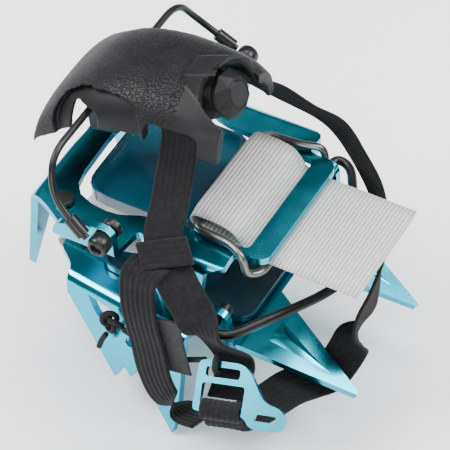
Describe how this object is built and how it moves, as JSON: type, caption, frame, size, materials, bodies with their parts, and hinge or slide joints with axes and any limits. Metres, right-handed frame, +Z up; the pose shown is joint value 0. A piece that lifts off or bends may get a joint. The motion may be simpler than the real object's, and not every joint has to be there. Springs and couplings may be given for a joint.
{
  "type": "packed ski-touring crampon",
  "caption": "Lightweight aluminium crampon packed with its heel section stacked on the front section, joined by a webbing band, with wire bails, heel throttle and ankle strap.",
  "frame": {"origin": "bottom centre of the crampon's box, on the surface that its side spikes stand on", "axes": "+X to the front points, +Y to the left side, +Z up"},
  "size_m": [0.1112, 0.1064, 0.1169],
  "materials": {
    "anodised_plate": "satin anodised",
    "steel_wire": "satin",
    "black_wire": "satin",
    "moulded_plastic": "fine grain",
    "black_webbing": "ribbed webbing",
    "grey_webbing": "ribbed webbing",
    "teal_film": "glossy, translucent",
    "label_fabric": "matte"
  },
  "bodies": {
    "frame": {"front_frame": "anodised_plate", "heel_frame": "anodised_plate", "heel_antiball_tray": "teal_film", "front_antiball_plate": "teal_film", "rear_stud_left": "black_wire", "rear_stud_right": "black_wire", "ring_buckle": "steel_wire", "link_band": "grey_webbing", "ankle_strap": "black_webbing", "ankle_strap_drop": "black_webbing", "ankle_strap_loop": "black_webbing", "strap_keeper": "black_webbing", "label_tag": "label_fabric", "keeper_cord": "black_webbing", "cord_tail": "black_webbing", "cord_knot": "black_webbing"},
    "toe_bail": {"toe_bail_wire": "black_wire", "toe_collar_left": "black_wire", "toe_collar_right": "black_wire"},
    "heel_bail": {"heel_bail_wire": "black_wire", "heel_pivot_left": "black_wire", "heel_pivot_right": "black_wire", "bail_sleeve_left": "black_wire", "bail_sleeve_right": "black_wire"},
    "carriage": {"throttle_carriage": "moulded_plastic"},
    "throttle": {"throttle_shell": "moulded_plastic", "ankle_strap_top": "black_webbing"},
    "knob": {"adjuster_knob": "moulded_plastic", "adjuster_screw": "steel_wire"},
    "buckle": {"hook_buckle": "anodised_plate", "cord_hitch": "black_webbing"}
  },
  "joints": [
    {"name": "toe_bail_swing", "type": "hinge", "parent": "frame", "child": "toe_bail", "pos_m": [0.01682, 0.00704, 0.04823], "axis": [0, 1, 0], "range_deg": [-20, 25]},
    {"name": "heel_bail_swing", "type": "hinge", "parent": "frame", "child": "heel_bail", "pos_m": [-0.01568, 0.00704, 0.07373], "axis": [0, 1, 0], "range_deg": [-12, 20]},
    {"name": "throttle_pitch", "type": "hinge", "parent": "heel_bail", "child": "carriage", "pos_m": [-0.03468, 0.00704, 0.09473], "axis": [0, 1, 0], "range_deg": [-10, 12]},
    {"name": "throttle_adjust", "type": "slide", "parent": "carriage", "child": "throttle", "axis": [0.9135, 0, 0.4067], "range_m": [-0.003, 0.003]},
    {"name": "knob_turn", "type": "hinge", "parent": "throttle", "child": "knob", "pos_m": [0.00232, 0.00704, 0.10473], "axis": [0.9135, 0, 0.4067], "range_deg": [-725, 725]},
    {"name": "buckle_swing", "type": "hinge", "parent": "frame", "child": "buckle", "pos_m": [0.02992, -0.04891, 0.03687], "axis": [0.9723, 0.2005, 0.1203], "range_deg": [0, 25]}
  ],
  "couplings": [
    {"joint": "knob_turn", "follows": "throttle_adjust", "rad_per_m": 4188.8}
  ]
}
